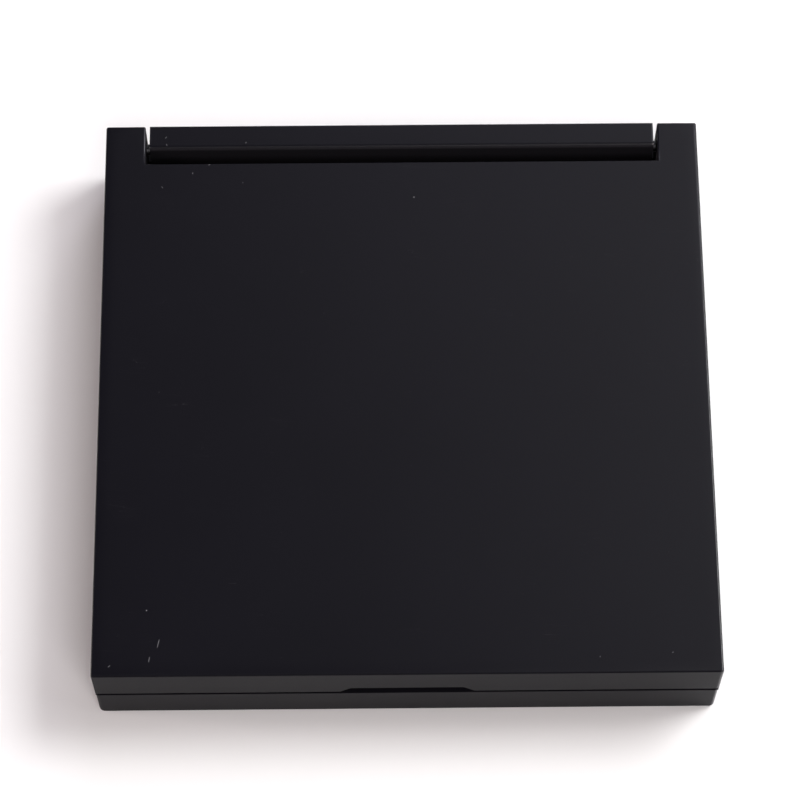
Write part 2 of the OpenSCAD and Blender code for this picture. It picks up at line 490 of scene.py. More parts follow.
def case_black(finish, tones):
    """Satin black plastic: fine grain, dust specks, hairlines, rubbed edges that also carry a
    painted highlight, and painted light in the groove before the knuckle.
    """
    place = finish.millimetres()
    grain = finish.noise(place, 9.0, detail=3.0)
    cloud = finish.noise(place, 0.06, detail=2.0)
    dust = dust_specks(finish, place)
    hair = finish.largest(hairlines(finish, 0.35, 3.1), hairlines(finish, -1.05, 11.7))
    marks = scratch(finish, *MARKS[0])
    for mark in MARKS[1:]:
        marks = finish.largest(marks, scratch(finish, *mark))
    # rubbed edges: partly real wear, partly a painted highlight
    wear_and_painted_highlight = edge_wear_and_painted_highlight(finish, place)
    x, y, z = finish.split(place)
    below_top = LID[1].z / MM - z
    side = finish.step(below_top, 0.08, RIM_DEPTH)
    # painted light: a mask of the groove in front of the knuckle, which is coloured lighter to
    # lift its shade
    groove_painted_light = (finish.step(y, GROOVE_FRONT, GROOVE_FRONT + 0.3)
              * finish.step(y, GROOVE_REAR, GROOVE_REAR - 1.0)
              * finish.step(abs(x), GROOVE_END, GROOVE_END - 0.2) * side)
    front_line = finish.step(finish.largest(y - LID[0].y / MM, below_top), 0.2, 0.12)
    black = finish.blend(cloud, lighter(tones.case, 0.85), lighter(tones.case, 1.2))
    # painted light: the groove's shade lifted by a lighter colour
    black = finish.blend(groove_painted_light * 0.8, black, (0.016, 0.015, 0.018))
    marks = finish.largest(hair * 0.11, marks * 0.32) * (1 - side)
    black = finish.blend(marks, black, (0.35, 0.35, 0.37))
    black = finish.blend(dust * 0.5, black, (0.42, 0.42, 0.44))
    # painted highlight, partly real wear: the rubbed edges are coloured lighter and given a
    # glossy coat, most on the right side and at the slot edges
    black = finish.blend(wear_and_painted_highlight * 0.5, black, lighter(tones.case, 2.2))
    rough = 0.35 + grain * 0.06 + cloud * 0.05 + dust * 0.3 - wear_and_painted_highlight * 0.1
    rough = rough + side * 0.18 + front_line * 0.45
    relief = finish.bump(grain, 0.004 * MM, strength=0.35)
    return finish.surface(Base_Color=black, Roughness=rough, Normal=relief,
                          Specular_IOR_Level=0.15, Coat_Weight=wear_and_painted_highlight * 0.9,
                          Coat_Roughness=0.16, Coat_IOR=1.5)


def edge_wear_and_painted_highlight(finish, place):
    """A mask of edge wear and painted highlight: the edges of the left and right sides, far
    stronger on the right where the key light falls, and the edges of the hinge slots.
    """
    x, y, z = finish.split(place)
    to_side = LID[1].x / MM - abs(x)
    to_end = LID[1].y / MM - abs(y)
    to_top = LID[1].z / MM - z
    nearest = finish.maths("MINIMUM", to_end, finish.maths("MINIMUM", to_top, z))
    patchy = finish.noise(place, 0.35, detail=3.0)
    # painted highlight: the edge mask grows towards the right side, where the key light falls
    lit_right_side = finish.step(x, 12.0, 31.0, 0.1, 1.0)
    outer_edge = finish.step(finish.largest(to_side, nearest), 0.42, 0.05)
    # painted highlight on the edges of the hinge slots
    to_slot = finish.largest(abs(abs(abs(x) - SLOT_X) - SLOT_HALF), to_top)
    slot_edge_highlight = (finish.step(to_slot, 0.22, 0.05)
                 * finish.step(y, GROOVE_FRONT, GROOVE_FRONT + 0.4))
    return finish.largest(outer_edge * (0.55 + patchy * 0.6) * lit_right_side, slot_edge_highlight)


def scratch(finish, x, y, turn, run):
    """A short hairline at one place on the lid, turned from the depth direction."""
    local = finish.add("ShaderNodeMapping", {"vector_type": "TEXTURE"},
                       {"Vector": finish.millimetres(), "Location": (x, y, 0.0),
                        "Rotation": (0.0, 0.0, -turn)})
    across, along = finish.split(local)[:2]
    return (finish.step(abs(across), 0.055, 0.015)
            * finish.step(abs(along), run / 2, run / 4))


def dust_specks(finish, place):
    """A few very small specks of dust, far apart."""
    coarse = finish.spots(place, 0.21)
    few = finish.noise(place, 0.11, detail=0.0)
    return finish.step(coarse, 0.024, 0.012) * finish.step(few, 0.46, 0.58)


def hairlines(finish, turn, shift):
    """Faint fine scratches in one direction, broken off at random."""
    along = finish.millimetres((0.10, 1.9, 0.6), (0.0, 0.0, turn), (shift, shift, 0.0))
    line = abs(finish.noise(along, 1.3, detail=0.0) - 0.5)
    thin = finish.step(line, 0.0028, 0.0006)
    place = finish.millimetres(shift=(shift, 0.0, shift))
    patch = finish.step(finish.noise(place, 0.16, detail=1.0), 0.64, 0.72)
    return thin * patch * 0.5


def inner_black(finish, tones):
    """Matt black plastic with the fine texture of an eroded mould."""
    place = finish.millimetres()
    grain = finish.noise(place, 5.0, detail=4.0, roughness=0.65)
    cloud = finish.noise(place, 0.08)
    black = finish.blend(cloud, lighter(tones.inside, 0.8), lighter(tones.inside, 1.4))
    relief = finish.bump(grain, 0.02 * MM)
    return finish.surface(Base_Color=black, Roughness=0.48 + grain * 0.14, Normal=relief,
                          Specular_IOR_Level=0.4)


def pan_metal(finish, tones):
    """Thin drawn aluminium with fine rolling lines."""
    lines = finish.noise(finish.millimetres((0.15, 9.0, 1.0)), 1.2, detail=4.0)
    cloud = finish.noise(finish.millimetres(), 0.12)
    metal = finish.blend(cloud, (0.70, 0.71, 0.72), (0.84, 0.84, 0.85))
    relief = finish.bump(lines, 0.01 * MM, strength=0.4)
    return finish.surface(Base_Color=metal, Metallic=1.0, Roughness=0.24 + lines * 0.18,
                          Normal=relief)


def pressed_powder(finish, tones):
    """Pressed face powder: a soft matt colour with fine lighter and darker grains."""
    place = finish.millimetres()
    grains = finish.noise(place, 7.0, detail=5.0, roughness=0.7)
    cloud = finish.noise(place, 0.15, detail=2.0)
    body = finish.blend(cloud, lighter(tones.powder, 0.94), lighter(tones.powder, 1.05))
    body = finish.blend(finish.step(grains, 0.35, 0.75) * 0.35, body, lighter(tones.powder, 1.2))
    relief = finish.bump(grains, 0.03 * MM, strength=0.6)
    return finish.surface(Base_Color=body, Roughness=0.86 + grains * 0.1, Normal=relief,
                          Specular_IOR_Level=0.2)


def clear_film(finish, tones):
    """Clear plastic sheet with slight waves."""
    place = finish.millimetres()
    waves = finish.noise(place, 0.10, detail=2.0)
    scuffs = finish.noise(place, 1.4, detail=4.0, roughness=0.7)
    tone = finish.blend(scuffs, (0.86, 0.88, 0.90), (0.93, 0.94, 0.95))
    relief = finish.bump(waves, 0.12 * MM)
    return finish.surface(Base_Color=tone, Roughness=0.06 + scuffs * 0.12, Normal=relief,
                          Alpha=0.22)


def puff_velour(finish, tones):
    """Short velour pile: soft, with brushed patches."""
    place = finish.millimetres()
    pile = finish.noise(place, 4.5, detail=5.0, roughness=0.75)
    brushed = finish.noise(finish.millimetres((0.5, 1.0, 1.0), (0.0, 0.0, 0.5)), 0.22, detail=3.0,
                           distortion=0.6)
    cloth = finish.blend(finish.step(brushed, 0.3, 0.7), lighter(tones.puff, 0.86),
                         lighter(tones.puff, 1.06))
    cloth = finish.blend(finish.step(pile, 0.35, 0.7) * 0.5, cloth, lighter(tones.puff, 1.3))
    nap = finish.noise(place, 1.5, detail=4.0, roughness=0.7)
    cloth = finish.blend(finish.step(nap, 0.62, 0.38) * 0.3, cloth, lighter(tones.puff, 0.7))
    relief = finish.bump(nap * 0.6 + pile * 0.6, 0.24 * MM, strength=1.0)
    return finish.surface(Base_Color=cloth, Roughness=0.9, Normal=relief, Specular_IOR_Level=0.2,
                          Sheen_Weight=0.6, Sheen_Roughness=0.35,
                          Sheen_Tint=lighter(tones.puff, 1.2))


def puff_foam(finish, tones):
    """Soft open foam."""
    cells = finish.spots(finish.millimetres(), 2.4)
    foam = finish.blend(cells, (0.82, 0.78, 0.70), (0.90, 0.87, 0.80))
    relief = finish.bump(cells, 0.15 * MM, strength=0.6)
    return finish.surface(Base_Color=foam, Roughness=0.95, Normal=relief)


def satin_ribbon(finish, tones):
    """Satin weave: fine threads along the ribbon, with corded edges."""
    across, along = finish.split(finish.add("ShaderNodeUVMap", {"uv_map": "ribbon"}))[:2]
    threads = finish.maths("SINE", across * (2 * math.pi * 90)) * 0.5 + 0.5
    picks = finish.maths("SINE", along * (2 * math.pi * 240)) * 0.5 + 0.5
    slubs = finish.noise(finish.millimetres((0.12, 3.0, 3.0)), 1.0, detail=3.0)
    cord = finish.step(abs(across - 0.5), 0.455, 0.475)
    cloth = finish.blend(slubs, lighter(tones.ribbon, 0.82), lighter(tones.ribbon, 1.15))
    cloth = finish.blend(cord * 0.35, cloth, lighter(tones.ribbon, 0.6))
    relief = finish.bump(threads * 0.4 + picks * 0.03 * (1 - cord) + cord * picks, 0.03 * MM,
                         strength=0.6)
    return finish.surface(Base_Color=cloth, Roughness=0.26 + slubs * 0.16 + cord * 0.2,
                          Normal=relief, Specular_IOR_Level=0.6,
                          Sheen_Weight=0.25, Sheen_Roughness=0.3)


def pin_steel(finish, tones):
    """Very dark steel wire with drawing marks."""
    marks = finish.noise(finish.millimetres((0.2, 8.0, 8.0)), 1.5, detail=3.0)
    metal = finish.blend(marks, (0.055, 0.055, 0.06), (0.11, 0.11, 0.12))
    return finish.surface(Base_Color=metal, Metallic=1.0, Roughness=0.38 + marks * 0.16,
                          Normal=finish.bump(marks, 0.01 * MM))


def mirror_silver(finish, tones):
    """Silvered glass with a trace of fingerprints and powder dust."""
    place = finish.millimetres()
    smear = finish.step(finish.noise(place, 0.09, detail=4.0, distortion=1.5), 0.55, 0.75)
    dust = dust_specks(finish, place)
    silver = finish.blend(smear * 0.3, (0.90, 0.915, 0.915), (0.86, 0.87, 0.87))
    silver = finish.blend(dust * 0.6, silver, (0.75, 0.66, 0.58))
    return finish.surface(Base_Color=silver, Metallic=1.0,
                          Roughness=0.012 + smear * 0.014 + dust * 0.4)


def paper_tape(finish, tones):
    """Thin double-sided tape with paper fibres."""
    fibres = finish.noise(finish.millimetres((0.6, 3.0, 1.0)), 1.6, detail=4.0)
    paper = finish.blend(fibres, (0.62, 0.58, 0.50), (0.72, 0.68, 0.60))
    return finish.surface(Base_Color=paper, Roughness=0.7 + fibres * 0.2,
                          Normal=finish.bump(fibres, 0.01 * MM))


def foam_tape(finish, tones):
    """Dark foam tape."""
    cells = finish.spots(finish.millimetres(), 5.0)
    foam = finish.blend(cells, (0.030, 0.030, 0.032), (0.055, 0.055, 0.057))
    return finish.surface(Base_Color=foam, Roughness=0.9,
                          Normal=finish.bump(cells, 0.08 * MM))


def table_white(finish, tone):
    """Smooth pale table top with the faintest mottling."""
    mottle = finish.noise(finish.millimetres(), 0.02, detail=3.0)
    white = finish.blend(mottle, lighter(tone, 0.985), lighter(tone, 1.0))
    return finish.surface(Base_Color=white, Roughness=0.55 + mottle * 0.05,
                          Specular_IOR_Level=0.2)


MAKERS = {maker.__name__: maker for maker in (
    case_black, inner_black, pan_metal, pressed_powder, clear_film, puff_velour, puff_foam,
    satin_ribbon, pin_steel, mirror_silver, paper_tape, foam_tape)}
FINISHES = {}


def finish_of(slot):
    """The material of a slot, made once by the function of the same name."""
    if slot not in FINISHES:
        finish = Finish(bpy.data.materials.new(slot))
        FINISHES[slot] = MAKERS[slot](finish, bpy.context.scene.compact_colours)
    return FINISHES[slot]


# ---------------------------------------------------------------- pieces


def make_lid_cover(sizes):
    """The lid's shell: a notched block, hollowed from below, with soft edges."""
    low, high = LID
    notch_x = sizes.knuckle_width / 2 + sizes.ear_gap
    notch_y = high.y - sizes.notch_depth
    cavity_x = high.x - sizes.wall
    cavity_front = low.y + sizes.wall
    cavity_rear = notch_y - 1.2 * MM

    lid = block("lid_cover", low, (high.x, notch_y, high.z))
    edit(lid)
    for side in (-1, 1):
        cut_at(0, side * notch_x)
    pick("FACE", lambda f: all_at(f, 1, notch_y) and abs(middle(f).x) > notch_x)
    extrude(y=sizes.notch_depth)
    close_edit()
    tidy_faces(lid)

    edit(lid)
    pick("FACE", lambda f: all_at(f, 2, high.z))
    bpy.ops.mesh.inset(thickness=sizes.crown_width)
    pick("VERT", lambda v: at(v.co.z, high.z) and on_outer_side(v, low, high))
    move(z=-sizes.crown_drop)
    close_edit()

    carve(lid, plate("cutter", (-cavity_x, cavity_front, low.z - THROUGH),
                     (cavity_x, cavity_rear, high.z - sizes.skin), 0.8 * MM))
    stop_x = sizes.knuckle_width / 2 - 2.5 * MM
    weld(lid, block("stop_rib", (-stop_x, notch_y - 0.1 * MM, AXIS_Z - 1.3 * MM),
                    (stop_x, notch_y + 0.35 * MM, AXIS_Z - 0.55 * MM)))
    weld(lid, block("catch_rib", (-CATCH_X, cavity_front - 0.1 * MM, 7.5 * MM),
                    (CATCH_X, cavity_front + 0.3 * MM, 7.8 * MM)))
    carve(lid, finger_cutter(sizes, low, cavity_front))

    edit(lid)
    radius = 1.0 * MM
    fine = sizes.fine_edge / radius
    top = high.z - sizes.crown_drop
    beside_finger = sizes.finger_width / 2 + 0.25 * MM
    above_finger = low.z + sizes.finger_height + NEAR

    def outline(e, z):
        return all_at(e, 2, z) and along_outline(e, low, high)

    set_radius(lambda e: is_corner(e, low, high), sizes.lid_corner / radius)
    set_radius(lambda e: outline(e, top), sizes.lid_edge / radius)
    set_radius(lambda e: outline(e, top) and all_at(e, 1, low.y), sizes.front_edge / radius)
    set_radius(lambda e: outline(e, low.z) and not all_at(e, 1, high.y),
               sizes.seam_edge / radius)
    set_radius(lambda e: all_at(e, 1, high.y) and all_at(e, 2, low.z), 1.0)
    set_radius(lambda e: at_sides(e, notch_x) and middle(e).y > notch_y + NEAR
               and not all_at(e, 2, low.z), fine)
    set_radius(lambda e: all_at(e, 1, notch_y) and at(middle(e).x, 0)
               and middle(e).z > high.z - MM, fine)
    set_radius(lambda e: all_at(e, 1, low.y) and abs(middle(e).x) < beside_finger
               and middle(e).z < above_finger and not all_at(e, 2, low.z), fine)
    close_edit()
    round_edges(lid, radius, segments=5)
    bore(lid, notch_x - THROUGH, 0.65 * MM, 10 * MM)
    smooth(lid)
    hand_over(lid, "case_black", "lid", "lid_shell")


def on_outer_side(vert, low, high):
    """Whether a point lies on a block's outline, seen from above."""
    return at(abs(vert.co.x), high.x) or at(vert.co.y, low.y) or at(vert.co.y, high.y)


def along_outline(e, low, high):
    """Whether an edge runs along one side of a block's outline."""
    return at_sides(e, high.x) or all_at(e, 1, low.y) or all_at(e, 1, high.y)


def finger_cutter(sizes, low, cavity_front):
    """The tapered block that cuts the finger notch."""
    half = sizes.finger_width / 2
    start = low.z
    cutter = block("cutter", (-half, low.y - THROUGH, start),
                   (half, cavity_front + 0.3 * MM, start + sizes.finger_height))
    edit(cutter)
    pick("VERT", lambda v: v.co.z > start + NEAR)
    squeeze = (half - sizes.finger_slope) / half
    bpy.ops.transform.resize(value=(squeeze, 1, 1))
    pick("FACE", lambda f: all_at(f, 2, start))
    extrude(z=-THROUGH)
    close_edit()
    return cutter


def make_base_tray(sizes):
    """The base's shell with the knuckle block that carries the hinge pins."""
    low, high = BASE
    rim = sizes.base_height
    cavity_x = high.x - sizes.wall
    knuckle_x = sizes.knuckle_width / 2
    knuckle_y = high.y - sizes.knuckle_depth

    base = block("base_tray", low, (high.x, high.y, rim))
    carve(base, plate("cutter", (-cavity_x, low.y + sizes.wall, sizes.skin),
                      (cavity_x, high.y - sizes.wall, rim + THROUGH), 0.8 * MM))
    weld(base, block("knuckle", (-knuckle_x, knuckle_y, sizes.skin - 0.1 * MM),
                     (knuckle_x, high.y, high.z)))
    carve(base, plate("cutter", (-23 * MM, -21 * MM, -THROUGH), (23 * MM, 21 * MM, 0.3 * MM),
                      2 * MM))

    edit(base)
    radius = sizes.base_edge
    fine = sizes.fine_edge / radius
    set_radius(lambda e: is_corner(e, low, high)
               or (all_at(e, 2, low.z) and along_outline(e, low, high)), 1.0)
    set_radius(lambda e: all_at(e, 2, rim) and along_outline(e, low, high),
               sizes.seam_edge / radius)
    set_radius(lambda e: all_at(e, 2, high.z) and all_at(e, 1, knuckle_y), 1.0)
    set_radius(lambda e: all_at(e, 2, high.z) and all_at(e, 1, high.y), 0.25 * MM / radius)
    set_radius(lambda e: at_sides(e, knuckle_x) and middle(e).z > rim + NEAR
               and (all_at(e, 2, high.z) or all_at(e, 1, knuckle_y)
                    or all_at(e, 1, high.y)), fine)
    set_radius(lambda e: all_at(e, 2, low.z) and not along_outline(e, low, high), fine)
    close_edit()
    round_edges(base, radius, segments=5)
    bore(base, knuckle_x - 4.5 * MM, 0.6 * MM, 6 * MM)
    clear_selection()
    bpy.ops.mesh.primitive_cylinder_add(vertices=48, radius=1.9 * MM, depth=6 * MM,
                                        location=(0, MID_Y, 0))
    carve(base, keep_primitive("cutter"))
    smooth(base)
    hand_over(base, "case_black", "base", "base_shell")


def make_insert_frame(sizes):
    """The raised rim round the pan, with the rear shelf and the catch."""
    low, high = INSERT
    rim_z = 7.4 * MM
    rim_rear = 24.65 * MM
    shelf_z = sizes.base_height
    piece = plate("insert_frame", low, (high.x, rim_rear, rim_z), MM)
    weld(piece, plate("shelf", (low.x, rim_rear - 2 * MM, low.z), (high.x, high.y, shelf_z), MM))
    gap = 0.2 * MM
    carve(piece, plate("cutter", (PAN[0].x - gap, PAN[0].y - gap, low.z - THROUGH),
                       (PAN[1].x + gap, PAN[1].y + gap, rim_z + THROUGH), 3.2 * MM, segments=12))
    knuckle_x = sizes.knuckle_width / 2 + gap
    carve(piece, block("cutter", (-knuckle_x, BASE[1].y - sizes.knuckle_depth - gap,
                                  low.z - THROUGH),
                       (knuckle_x, high.y + THROUGH, shelf_z + THROUGH)))
    edit(piece)
    set_radius(lambda e: all_at(e, 2, rim_z), 0.6)
    set_radius(lambda e: all_at(e, 2, rim_z) and within(e, 28.5 * MM, 25.6 * MM, MID_Y), 1.0)
    set_radius(lambda e: all_at(e, 2, shelf_z) and middle(e).y > rim_rear + NEAR, 0.3)
    close_edit()
    round_edges(piece, 0.5 * MM, segments=4)
    weld(piece, catch_tongue(low, high))
    smooth(piece)
    hand_over(piece, "inner_black", "base", "base_insert")


def catch_tongue(low, high):
    """The upright tongue with the bead that the lid snaps over."""
    front, thick, bead = low.y + 0.45 * MM, 0.9 * MM, 0.3 * MM
    tongue = block("tongue", (-CATCH_X, front, low.z + MM), (CATCH_X, front + thick, high.z))
    edit(tongue)
    bevel(lambda e: all_at(e, 2, high.z), 0.12 * MM, segments=3)
    close_edit()
    weld(tongue, rod("bead", (-4.3 * MM, front, high.z - bead), bead, 8.6 * MM, sides=24))
    return tongue


def make_mirror_bezel(sizes):
    """The frame that holds the mirror in the lid."""
    low, high = BEZEL
    mid_y = (low.y + high.y) / 2
    half_x, half_y = 27 * MM, 24 * MM
    piece = plate("mirror_bezel", low, high, MM)
    carve(piece, plate("cutter", (-half_x, mid_y - half_y, low.z - THROUGH),
                       (half_x, mid_y + half_y, high.z + THROUGH), 2 * MM, segments=10))
    gap = 0.2 * MM
    carve(piece, plate("cutter", (MIRROR[0].x - gap, MIRROR[0].y - gap, MIRROR[0].z),
                       (MIRROR[1].x + gap, MIRROR[1].y + gap, high.z + THROUGH), 2.2 * MM,
                       segments=10))
    edit(piece)
    set_radius(lambda e: all_at(e, 2, low.z), 0.8)
    set_radius(lambda e: all_at(e, 2, low.z)
               and within(e, half_x + NEAR, half_y + NEAR, mid_y), 1.0)
    close_edit()
    round_edges(piece, 0.35 * MM, segments=4)
    smooth(piece)
    hand_over(piece, "inner_black", "lid", "mirror_frame")


def make_mirror():
    """The silvered glass with ground edges."""
    piece = plate("mirror", MIRROR[0], MIRROR[1], 2 * MM, segments=10)
    edit(piece)
    bevel(lambda e: all_at(e, 2, MIRROR[0].z) or all_at(e, 2, MIRROR[1].z), 0.15 * MM, segments=1)
    close_edit()
    smooth(piece)
    hand_over(piece, "mirror_silver", "lid", "mirror_glass")


def make_pan():
    """The drawn metal pan: a rounded block opened from above."""
    low, high = PAN
    sheet = 0.3 * MM
    piece = plate("pan", low, high, 3 * MM, segments=12)
    edit(piece)
    pick("FACE", lambda f: all_at(f, 2, high.z))
    bpy.ops.mesh.inset(thickness=sheet)
    extrude(z=-(high.z - low.z - sheet))
    bevel(lambda e: all_at(e, 2, high.z) or all_at(e, 2, low.z), 0.1 * MM, segments=3)
    close_edit()
    smooth(piece)
    hand_over(piece, "pan_metal", "base", "powder_pan")


def to_round_corners(piece, low, high, corner):
    """Draws a square grid's corners in to quarter circles."""
    for vert in piece.data.vertices:
        centre = [(low[k] + high[k]) / 2 for k in (0, 1)]
        half = [(high[k] - low[k]) / 2 for k in (0, 1)]
        u, v = [(abs(vert.co[k] - centre[k]) - half[k] + corner) / corner for k in (0, 1)]
        if u > 0 and v > 0:
            drawn = (u * math.sqrt(1 - v * v / 2), v * math.sqrt(1 - u * u / 2))
            for k in (0, 1):
                side = math.copysign(1, vert.co[k] - centre[k])
                vert.co[k] = centre[k] + side * (half[k] - corner + drawn[k] * corner)


def grid_sheet(name, low, high, step, corner):
    """A flat sheet of small squares with rounded corners, at the top of a box."""
    clear_selection()
    size = Vector(high) - Vector(low)
    place = (Vector(high) + Vector(low)) / 2
    place.z = high.z
    bpy.ops.mesh.primitive_grid_add(x_subdivisions=round(size.x / step),
                                    y_subdivisions=round(size.y / step),
                                    size=1, location=place)
    bpy.ops.transform.resize(value=(size.x, size.y, 1))
    sheet = keep_primitive(name)
    to_round_corners(sheet, low, high, corner)
    return sheet


def powder_relief(x, y):
    """The pressed pattern: a border line round fine crossing ribs."""
    half_x, half_y = (POWDER[1].x - POWDER[0].x) / 2, (POWDER[1].y - POWDER[0].y) / 2
    inset = min(half_x - abs(x), half_y - abs(y - MID_Y)) / MM
    line = max(0.0, 1 - abs(inset - 2.6) / 0.45)
    ribs = 0.5 + 0.5 * math.cos(2 * math.pi * (x + y) / (1.7 * MM)) * math.cos(
        2 * math.pi * (x - y) / (1.7 * MM))
    weave = ribs if inset > 3.4 else 0.0
    fall = max(0.0, 1 - inset / 0.8) ** 2
    return (-0.10 * line - 0.07 * weave - 0.12 * fall) * MM


def make_powder():
    """The cake of powder, with its pressed pattern."""
    low, high = POWDER
    piece = grid_sheet("powder", low, high, 0.38 * MM, 2.7 * MM)
    for vert in piece.data.vertices:
        vert.co.z += powder_relief(vert.co.x, vert.co.y)
    edit(piece)
    select_all()
    bpy.ops.mesh.region_to_loop()
    extrude(z=(low.z - high.z) / 2)
    bpy.ops.mesh.edge_face_add()
    flatten(piece, low.z)
    select_all()
    bpy.ops.mesh.normals_make_consistent(inside=False)
    close_edit()
    smooth(piece, 50)
    hand_over(piece, "pressed_powder", "base", "powder_cake")


def flatten(piece, floor):
    """Puts the selected points at one height."""
    cage = bmesh.from_edit_mesh(piece.data)
    for vert in cage.verts:
        if vert.select:
            vert.co.z = floor
    bmesh.update_edit_mesh(piece.data)


def make_film():
    """The clear sheet over the powder."""
    low, high = FILM
    piece = plate("film", low, high, 3 * MM, segments=12)
    edit(piece)
    bevel(lambda e: all_at(e, 2, high.z), 0.05 * MM, segments=2)
    close_edit()
    smooth(piece)
    hand_over(piece, "clear_film", "base", "cover_film")


def make_pins():
    """The two hinge pins with chamfered ends."""
    for side, (low, high) in PINS.items():
        centre = (low + high) / 2
        pin = rod("pin_" + side, (low.x, centre.y, centre.z), (high.z - low.z) / 2,
                  high.x - low.x, sides=40)
        edit(pin)
        bevel(lambda e: all_at(e, 0, low.x) or all_at(e, 0, high.x), 0.1 * MM, segments=2)
        close_edit()
        smooth(pin)
        hand_over(pin, "pin_steel", "base", "hinge_pin_" + side)


def make_puff():
    """The puff: a velour pad blown up as cloth, pressed between its neighbours and piped."""
    low, high = PUFF
    piece = grid_sheet("puff", low, high, 0.8 * MM, 8 * MM)
    half = (high - low) / 2
    mid_z = (low.z + high.z) / 2
    for vert in piece.data.vertices:
        vert.co.z = mid_z + puff_rise(vert.co.x, vert.co.y, half) * half.z
    edit(piece)
    select_all()
    bpy.ops.mesh.duplicate()
    bpy.ops.transform.resize(value=(1, 1, -1), center_override=(0, 0, mid_z))
    bpy.ops.mesh.flip_normals()
    select_all()
    bpy.ops.mesh.remove_doubles(threshold=0.01 * MM)
    pick("EDGE", lambda e: all_at(e, 2, mid_z))
    bpy.ops.mesh.mark_seam()
    close_edit()
    inflate(piece)
    press_puff(piece, low, high, 0.28 * MM)

    foam = copy_piece(piece, "foam")
    edit(foam)
    select_all()
    bpy.ops.transform.shrink_fatten(value=-0.5 * MM)
    close_edit()
    keep_inside(foam, *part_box("puff_foam"))
    smooth(foam, 60)
    hand_over(foam, "puff_foam", "base", "puff_foam")

    piping = 0.24 * MM
    edit(piece)
    bevel(lambda e: e.seam, piping, segments=2)
    bpy.ops.mesh.extrude_region_shrink_fatten(TRANSFORM_OT_shrink_fatten={"value": piping})
    close_edit()
    use_modifier(piece, "SUBSURF", levels=1, render_levels=1)
    keep_inside(piece, low, high)
    select_only(piece)
    bpy.ops.object.shade_smooth()
    hand_over(piece, "puff_velour", "base", "puff_cover")
    return piece


def puff_rise(x, y, half):
    """How far the slack puff's top stands above its seam: a low dome with a round edge."""
    corner = 8 * MM
    u = max(0.0, abs(x) - half.x + corner)
    v = max(0.0, abs(y - MID_Y) - half.y + corner)
    inset = min(1.0, max(0.0, (corner - math.hypot(u, v)) / (2.6 * MM)))
    edge = math.sqrt(1 - (1 - inset) ** 2)
    dome = (1 - (x / half.x) ** 2) * (1 - ((y - MID_Y) / half.y) ** 2)
    return edge * (0.3 + 0.7 * dome)


def inflate(piece):
    """Blows a closed skin up as cloth, at ten times its size, where cloth settles well."""
    resize_piece(piece, CLOTH_SCALE)
    select_only(piece)
    bpy.ops.object.modifier_add(type="CLOTH")
    cloth = piece.modifiers[-1]
    for key, value in CLOTH_SETTINGS.items():
        setattr(cloth.settings, key, value)
    cloth.settings.effector_weights.gravity = 0.0
    for frame_number in range(1, CLOTH_FRAMES + 1):
        bpy.context.scene.frame_set(frame_number)
    bpy.ops.object.modifier_apply(modifier=cloth.name)
    bpy.context.scene.frame_set(1)
    resize_piece(piece, 1 / CLOTH_SCALE)


def resize_piece(piece, factor):
    """Makes a piece's mesh larger or smaller about the origin."""
    edit(piece)
    select_all()
    bpy.ops.transform.resize(value=(factor, factor, factor), center_override=(0, 0, 0))
    close_edit()


def press_puff(piece, low, high, margin):
    """Fits a blown-up pad to its space: soft faces above and below, its corners at the sides."""
    verts = piece.data.vertices
    middle_point = (low + high) / 2
    half = (high - low) / 2 - Vector((margin, margin, 0.05 * MM))
    reach = [max(abs(vert.co[k] - middle_point[k]) for vert in verts) for k in range(2)]
    for vert in verts:
        for k in range(2):
            vert.co[k] = middle_point[k] + (vert.co[k] - middle_point[k]) * half[k] / reach[k]
        rise = (vert.co.z - middle_point.z) / half.z
        vert.co.z = middle_point.z + half.z * math.tanh(rise * 0.75)


def keep_inside(piece, low, high):
    """Holds every point of a piece within a box."""
    for vert in piece.data.vertices:
        vert.co = [min(max(vert.co[k], low[k]), high[k]) for k in range(3)]


def copy_piece(piece, name):
    """A copy of a piece with its own mesh."""
    select_only(piece)
    bpy.ops.object.duplicate(linked=False)
    copy = bpy.context.object
    copy.name = name
    copy.data.name = name
    return copy


def make_ribbon(puff):
    """The satin ribbon across the puff, sewn in at both sides."""
    low, high = RIBBON
    clear_selection()
    size = high - low
    skin = BVHTree.FromObject(puff, bpy.context.evaluated_depsgraph_get())
    reach = puff_reach(skin, size.y / 2) - 0.3 * MM
    place = (low + high) / 2
    bpy.ops.mesh.primitive_grid_add(x_subdivisions=160, y_subdivisions=24, size=1,
                                    location=place)
    bpy.ops.transform.resize(value=(2 * reach, size.y, 1))
    piece = keep_primitive("ribbon")
    piece.data.uv_layers[0].name = "ribbon"
    lay_on(piece, skin, 0.09 * MM)
    use_modifier(piece, "SMOOTH", factor=0.5, iterations=6, use_x=False, use_y=False)
    use_modifier(piece, "SOLIDIFY", thickness=0.1 * MM, offset=0)
    keep_inside(piece, (low.x, low.y, PUFF[0].z), high)
    select_only(piece)
    bpy.ops.object.shade_smooth()
    hand_over(piece, "satin_ribbon", "base", "puff_ribbon")


def puff_reach(skin, half_width):
    """How far the puff reaches to the sides, at its narrowest under the ribbon."""
    mid_z = (PUFF[0].z + PUFF[1].z) / 2
    return min(skin.ray_cast(Vector((side, MID_Y + part * half_width, mid_z)),
                             Vector((-side, 0, 0)))[0].x * side
               for side in (-1, 1) for part in (-1, 0, 1))


def lay_on(sheet, skin, above):
    """Lays a flat sheet on the skin under it."""
    for vert in sheet.data.vertices:
        start = Vector((vert.co.x, vert.co.y, 1.0))
        hit = skin.ray_cast(start, Vector((0, 0, -1)))[0]
        if hit is None:
            raise RuntimeError("the ribbon reaches past the puff")
        vert.co.z = hit.z + above


def finish_hidden_parts():
    """Gives the parts whose modelled shape is kept their finishes."""
    for node, slot in (("pan_tape", "paper_tape"), ("mirror_tape", "foam_tape")):
        dress(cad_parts[node], slot)


